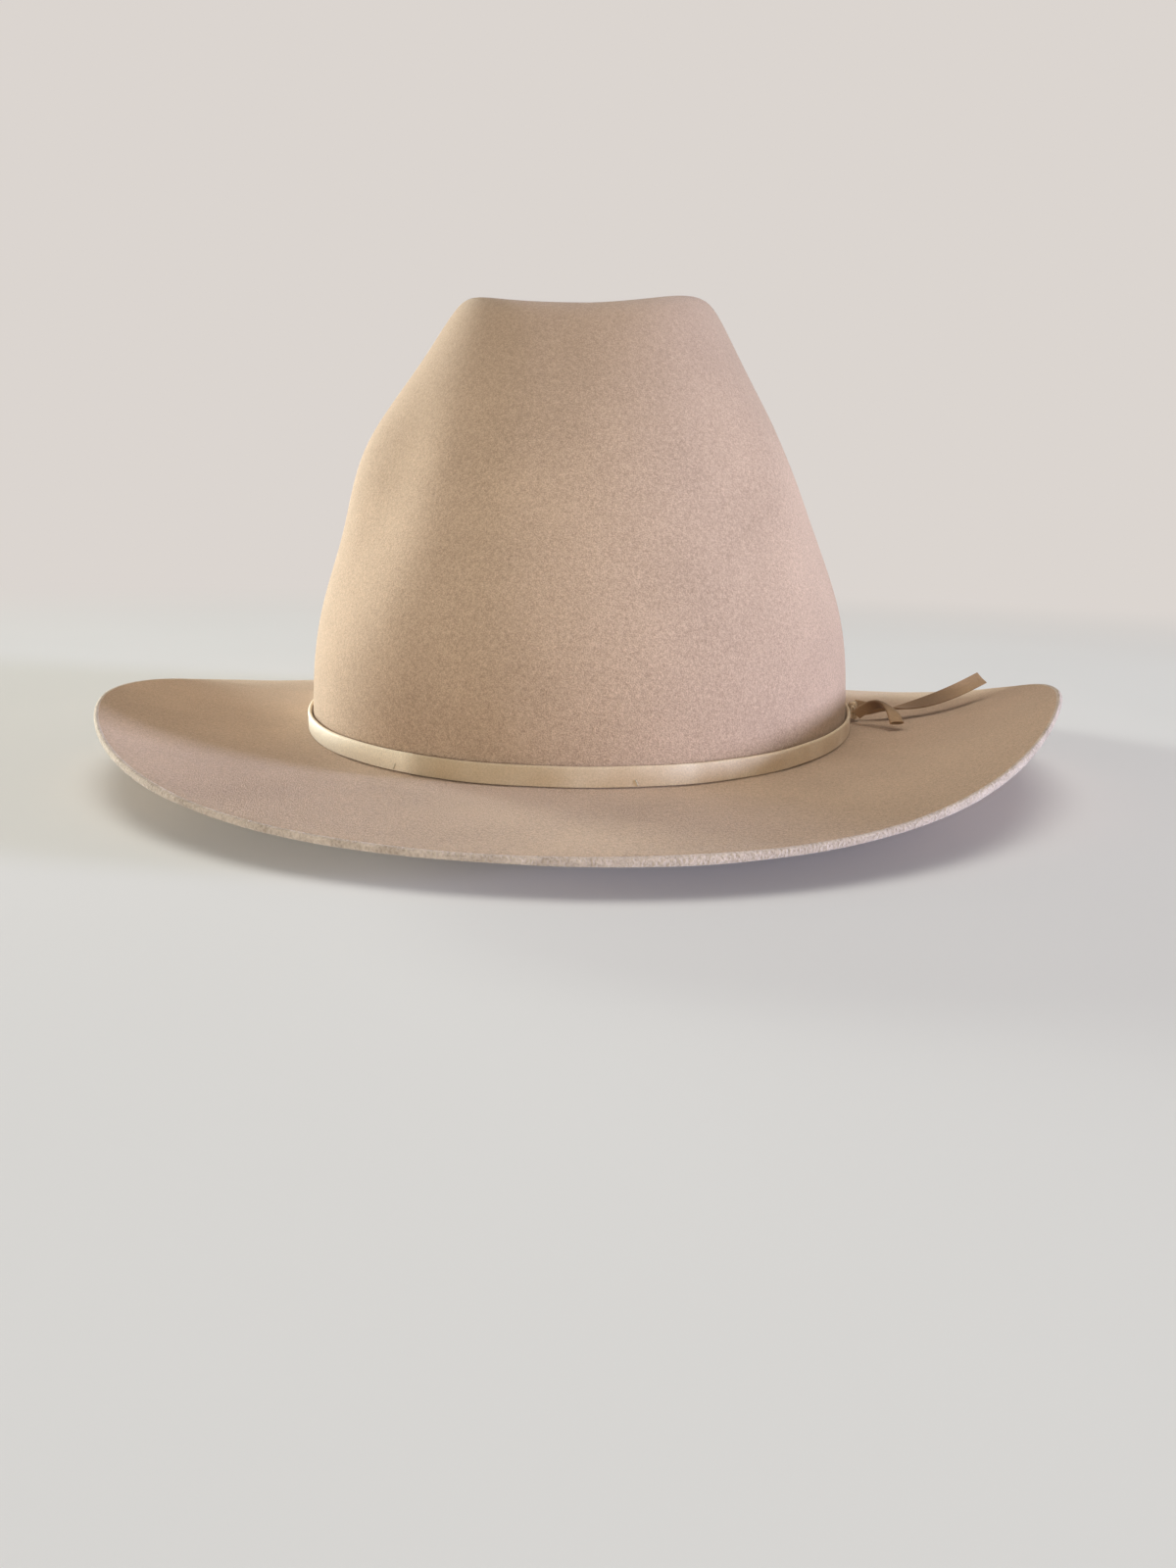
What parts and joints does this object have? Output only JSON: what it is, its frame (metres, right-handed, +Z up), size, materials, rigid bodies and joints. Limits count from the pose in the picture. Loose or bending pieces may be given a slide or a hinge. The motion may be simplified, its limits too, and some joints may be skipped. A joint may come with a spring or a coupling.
{
  "type": "cowboy hat",
  "caption": "Tan felt western hat with a tapered, dented crown, a side-curled raw-edge brim, a narrow folded ribbon band with knotted tails, and a leather sweatband and satin lining.",
  "frame": {"origin": "centre of the head opening, on the line where the brim meets the crown at the front and back", "axes": "+X to the wearer's left, +Y to the back of the hat, +Z up through the crown"},
  "size_m": [0.2866, 0.317, 0.1371],
  "materials": {
    "felt": "matt wool felt with a short nap",
    "ribbon": "fine-ribbed grosgrain",
    "thread": "twisted sewing thread",
    "leather": "smooth roan leather, lightly polished",
    "reed": "plain extruded plastic",
    "tape": "woven binding tape",
    "joiner": "crimped tube",
    "satin": "satin weave with a sheen",
    "piping": "satin-covered cord",
    "tag": "blank woven tag"
  },
  "bodies": {
    "hat": {"felt_body": "felt", "hat_band": "ribbon", "band_knot": "ribbon", "band_tacks": "thread", "sweatband": "leather", "sweatband_reed": "reed", "reed_tape": "tape", "reed_joiner": "joiner", "sweatband_stitches": "thread", "back_seam_stitches": "thread", "sweatband_bow": "tape", "lining_side": "satin", "lining_tip": "satin", "lining_piping": "piping", "size_tag": "tag"},
    "long_tail": {"long_tail": "ribbon"},
    "short_tail": {"short_tail": "ribbon"}
  },
  "joints": [
    {"name": "long_tail_swing", "type": "hinge", "parent": "hat", "child": "long_tail", "pos_m": [0.0894, 0.003, 0.0067], "axis": [0, 0, 1], "range_deg": [-15, 45], "stiffness_Nm_per_rad": 0.00002},
    {"name": "short_tail_swing", "type": "hinge", "parent": "hat", "child": "short_tail", "pos_m": [0.08815, -0.0041, 0.0056], "axis": [0, 0, 1], "range_deg": [-12, 20], "stiffness_Nm_per_rad": 0.00002}
  ]
}
